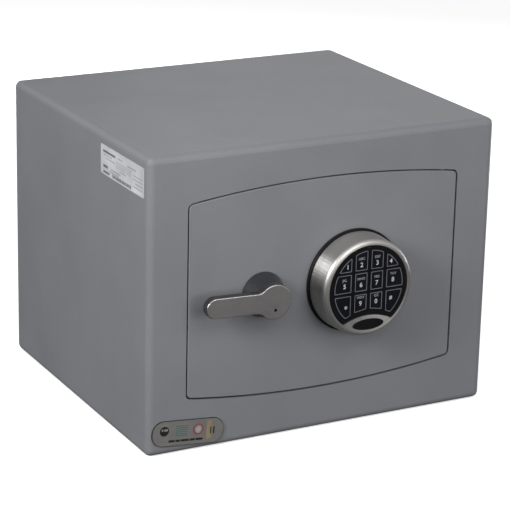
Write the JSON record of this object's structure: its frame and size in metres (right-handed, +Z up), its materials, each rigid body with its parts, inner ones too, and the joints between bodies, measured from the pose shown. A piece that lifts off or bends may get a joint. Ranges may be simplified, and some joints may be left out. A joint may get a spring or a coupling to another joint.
{
  "type": "in-room safe",
  "caption": "Small fire-lined steel safe with a side-hung bowed door, a turning lever, thrown bolts and a round push-button keypad lock.",
  "frame": {"origin": "middle of the body's footprint, on the underside the safe stands on", "axes": "+X to the right seen from the front, +Y to the back, +Z up; the door is on the -Y side"},
  "size_m": [0.3504, 0.334, 0.275],
  "materials": {
    "grey_paint": "fine-textured satin",
    "dark_paint": "satin",
    "zinc_steel": "zinc plated",
    "plain_steel": "machined",
    "hardened_steel": "black oxide",
    "brushed_nickel": "brushed",
    "bolt_chrome": "polished",
    "black_plastic": "satin",
    "lever_plastic": "semi-gloss",
    "key_plastic": "satin",
    "face_plastic": "satin",
    "lens_red": "clear tint",
    "board_green": "solder mask",
    "battery_case": "satin",
    "coil_tape": "tape",
    "cable_sheath": "matte",
    "mineral_board": "matte gypsum",
    "felt": "felt",
    "label_film": "coated"
  },
  "bodies": {
    "body": {"outer_case": "grey_paint", "rear_panel": "grey_paint", "liner_floor": "dark_paint", "liner_roof": "dark_paint", "liner_left": "dark_paint", "liner_right": "dark_paint", "liner_back": "dark_paint", "barrier_infill": "mineral_board", "strike_plate": "zinc_steel", "upper_hinge_bracket": "plain_steel", "lower_hinge_bracket": "plain_steel", "anchor_sleeve_left": "zinc_steel", "anchor_sleeve_right": "zinc_steel", "anchor_plug_left": "black_plastic", "anchor_plug_right": "black_plastic", "floor_mat": "felt", "rating_badge": "brushed_nickel", "side_label": "label_film"},
    "door": {"door_plate": "grey_paint", "door_inner_cover": "dark_paint", "door_insulation": "mineral_board", "hinge_side_dog": "zinc_steel", "hard_plate": "hardened_steel", "bolt_guide": "zinc_steel", "lock_case": "zinc_steel", "lock_cover": "zinc_steel", "lock_solenoid": "coil_tape", "keypad_cable": "cable_sheath", "cover_screw_1": "zinc_steel", "cover_screw_2": "zinc_steel", "cover_screw_3": "zinc_steel", "cover_screw_4": "zinc_steel", "keypad_base": "black_plastic", "keypad_bezel": "brushed_nickel", "keypad_faceplate": "face_plastic", "keypad_board": "board_green", "battery": "battery_case", "status_led": "lens_red", "keypad_badge": "face_plastic"},
    "lever": {"handle_lever": "lever_plastic", "handle_face_plate": "brushed_nickel", "handle_grub_screw": "black_plastic", "handle_spindle": "plain_steel", "drive_cam": "zinc_steel"},
    "boltwork": {"bolt_carrier": "zinc_steel", "upper_bolt": "bolt_chrome", "lower_bolt": "bolt_chrome"},
    "lock_bolt": {"swing_bolt": "plain_steel"},
    "key_1": {"key_1": "key_plastic"},
    "key_2": {"key_2": "key_plastic"},
    "key_3": {"key_3": "key_plastic"},
    "key_4": {"key_4": "key_plastic"},
    "key_5": {"key_5": "key_plastic"},
    "key_6": {"key_6": "key_plastic"},
    "key_7": {"key_7": "key_plastic"},
    "key_8": {"key_8": "key_plastic"},
    "key_9": {"key_9": "key_plastic"},
    "key_0": {"key_0": "key_plastic"},
    "key_star": {"key_star": "key_plastic"},
    "key_hash": {"key_hash": "key_plastic"}
  },
  "joints": [
    {"name": "door_hinge", "type": "hinge", "parent": "body", "child": "door", "pos_m": [0.123, -0.147, 0.1398], "axis": [0, 0, 1], "range_deg": [0, 95]},
    {"name": "handle_turn", "type": "hinge", "parent": "door", "child": "lever", "pos_m": [-0.063, -0.1525, 0.1384], "axis": [0, -1, 0], "range_deg": [0, 60]},
    {"name": "bolt_slide", "type": "slide", "parent": "door", "child": "boltwork", "axis": [-1, 0, 0], "range_m": [0, 0.0151]},
    {"name": "lock_bolt_turn", "type": "hinge", "parent": "door", "child": "lock_bolt", "pos_m": [-0.014, -0.133, 0.112], "axis": [0, -1, 0], "range_deg": [0, 50.1]},
    {"name": "key_1_press", "type": "slide", "parent": "door", "child": "key_1", "axis": [0, 1, 0], "range_m": [0, 0.0008], "stiffness_N_per_m": 600},
    {"name": "key_2_press", "type": "slide", "parent": "door", "child": "key_2", "axis": [0, 1, 0], "range_m": [0, 0.0008], "stiffness_N_per_m": 600},
    {"name": "key_3_press", "type": "slide", "parent": "door", "child": "key_3", "axis": [0, 1, 0], "range_m": [0, 0.0008], "stiffness_N_per_m": 600},
    {"name": "key_4_press", "type": "slide", "parent": "door", "child": "key_4", "axis": [0, 1, 0], "range_m": [0, 0.0008], "stiffness_N_per_m": 600},
    {"name": "key_5_press", "type": "slide", "parent": "door", "child": "key_5", "axis": [0, 1, 0], "range_m": [0, 0.0008], "stiffness_N_per_m": 600},
    {"name": "key_6_press", "type": "slide", "parent": "door", "child": "key_6", "axis": [0, 1, 0], "range_m": [0, 0.0008], "stiffness_N_per_m": 600},
    {"name": "key_7_press", "type": "slide", "parent": "door", "child": "key_7", "axis": [0, 1, 0], "range_m": [0, 0.0008], "stiffness_N_per_m": 600},
    {"name": "key_8_press", "type": "slide", "parent": "door", "child": "key_8", "axis": [0, 1, 0], "range_m": [0, 0.0008], "stiffness_N_per_m": 600},
    {"name": "key_9_press", "type": "slide", "parent": "door", "child": "key_9", "axis": [0, 1, 0], "range_m": [0, 0.0008], "stiffness_N_per_m": 600},
    {"name": "key_0_press", "type": "slide", "parent": "door", "child": "key_0", "axis": [0, 1, 0], "range_m": [0, 0.0008], "stiffness_N_per_m": 600},
    {"name": "key_star_press", "type": "slide", "parent": "door", "child": "key_star", "axis": [0, 1, 0], "range_m": [0, 0.0008], "stiffness_N_per_m": 600},
    {"name": "key_hash_press", "type": "slide", "parent": "door", "child": "key_hash", "axis": [0, 1, 0], "range_m": [0, 0.0008], "stiffness_N_per_m": 600}
  ],
  "couplings": [
    {"joint": "bolt_slide", "follows": "handle_turn", "m_per_rad": 0.014324},
    {"joint": "lock_bolt_turn", "follows": "handle_turn", "ratio": 0.83333}
  ]
}
